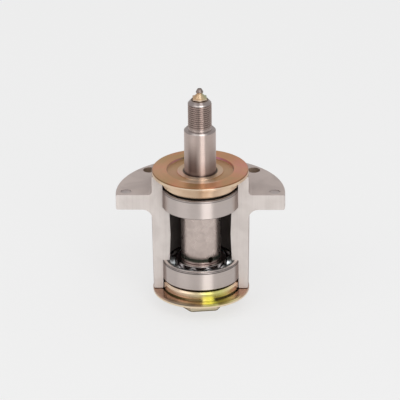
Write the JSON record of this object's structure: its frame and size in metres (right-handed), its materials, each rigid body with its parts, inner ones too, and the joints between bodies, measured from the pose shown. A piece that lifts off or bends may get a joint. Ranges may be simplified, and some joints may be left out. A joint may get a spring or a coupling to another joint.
{
  "type": "mower deck spindle",
  "caption": "Greasable mower deck spindle cut open: flanged cast housing, ball bearings, spacer, plated dust caps and a threaded shaft.",
  "frame": {"origin": "on the shaft's axis, at the lower end of the land that carries the pulley, just above the upper dust cap's boss", "axes": "+Z along the shaft towards the threaded end; the sawn face looks along -Y"},
  "size_m": [0.1354, 0.1063, 0.1871],
  "materials": {
    "cast_aluminium": "as cast, with sawn and milled faces",
    "bearing_steel": "ground",
    "polished_steel": "polished",
    "seal_rubber": "moulded",
    "cage_steel": "pressed sheet",
    "spacer_steel": "drawn tube, dull",
    "ground_steel": "ground, with a cut thread",
    "yellow_zinc": "turned steel, yellow zinc plated",
    "fitting_zinc": "turned steel, yellow zinc plated",
    "bolt_zinc": "forged steel, plated"
  },
  "bodies": {
    "housing": {"housing": "cast_aluminium", "upper_bearing_outer_ring": "bearing_steel", "lower_bearing_outer_ring": "bearing_steel", "upper_bearing_seal": "seal_rubber", "lower_bearing_seal": "seal_rubber"},
    "rotor": {"spindle_shaft": "ground_steel", "bearing_spacer": "spacer_steel", "upper_dust_cap": "yellow_zinc", "lower_dust_cap": "yellow_zinc", "upper_bearing_inner_ring": "bearing_steel", "lower_bearing_inner_ring": "bearing_steel", "grease_fitting_body": "fitting_zinc", "grease_fitting_spring": "polished_steel", "blade_bolt": "bolt_zinc"},
    "upper_cage": {"upper_bearing_balls": "polished_steel", "upper_cage_top_half": "cage_steel", "upper_cage_bottom_half": "cage_steel", "upper_cage_rivets": "cage_steel"},
    "lower_cage": {"lower_bearing_balls": "polished_steel", "lower_cage_top_half": "cage_steel", "lower_cage_bottom_half": "cage_steel", "lower_cage_rivets": "cage_steel"},
    "check_ball": {"grease_fitting_ball": "polished_steel"}
  },
  "joints": [
    {"name": "shaft_spin", "type": "hinge", "parent": "housing", "child": "rotor", "pos_m": [0, 0, 0], "axis": [0, 0, 1], "continuous": true},
    {"name": "upper_cage_spin", "type": "hinge", "parent": "housing", "child": "upper_cage", "pos_m": [0, 0, -0.0221], "axis": [0, 0, 1], "continuous": true},
    {"name": "lower_cage_spin", "type": "hinge", "parent": "housing", "child": "lower_cage", "pos_m": [0, 0, -0.0844], "axis": [0, 0, 1], "continuous": true},
    {"name": "check_ball_slide", "type": "slide", "parent": "rotor", "child": "check_ball", "axis": [0, 0, -1], "range_m": [0, 0.0008], "stiffness_N_per_m": 150, "springref_m": -0.0015, "deforming": ["grease_fitting_spring"]}
  ],
  "couplings": [
    {"joint": "upper_cage_spin", "follows": "shaft_spin", "ratio": 0.39647},
    {"joint": "lower_cage_spin", "follows": "shaft_spin", "ratio": 0.39647}
  ]
}
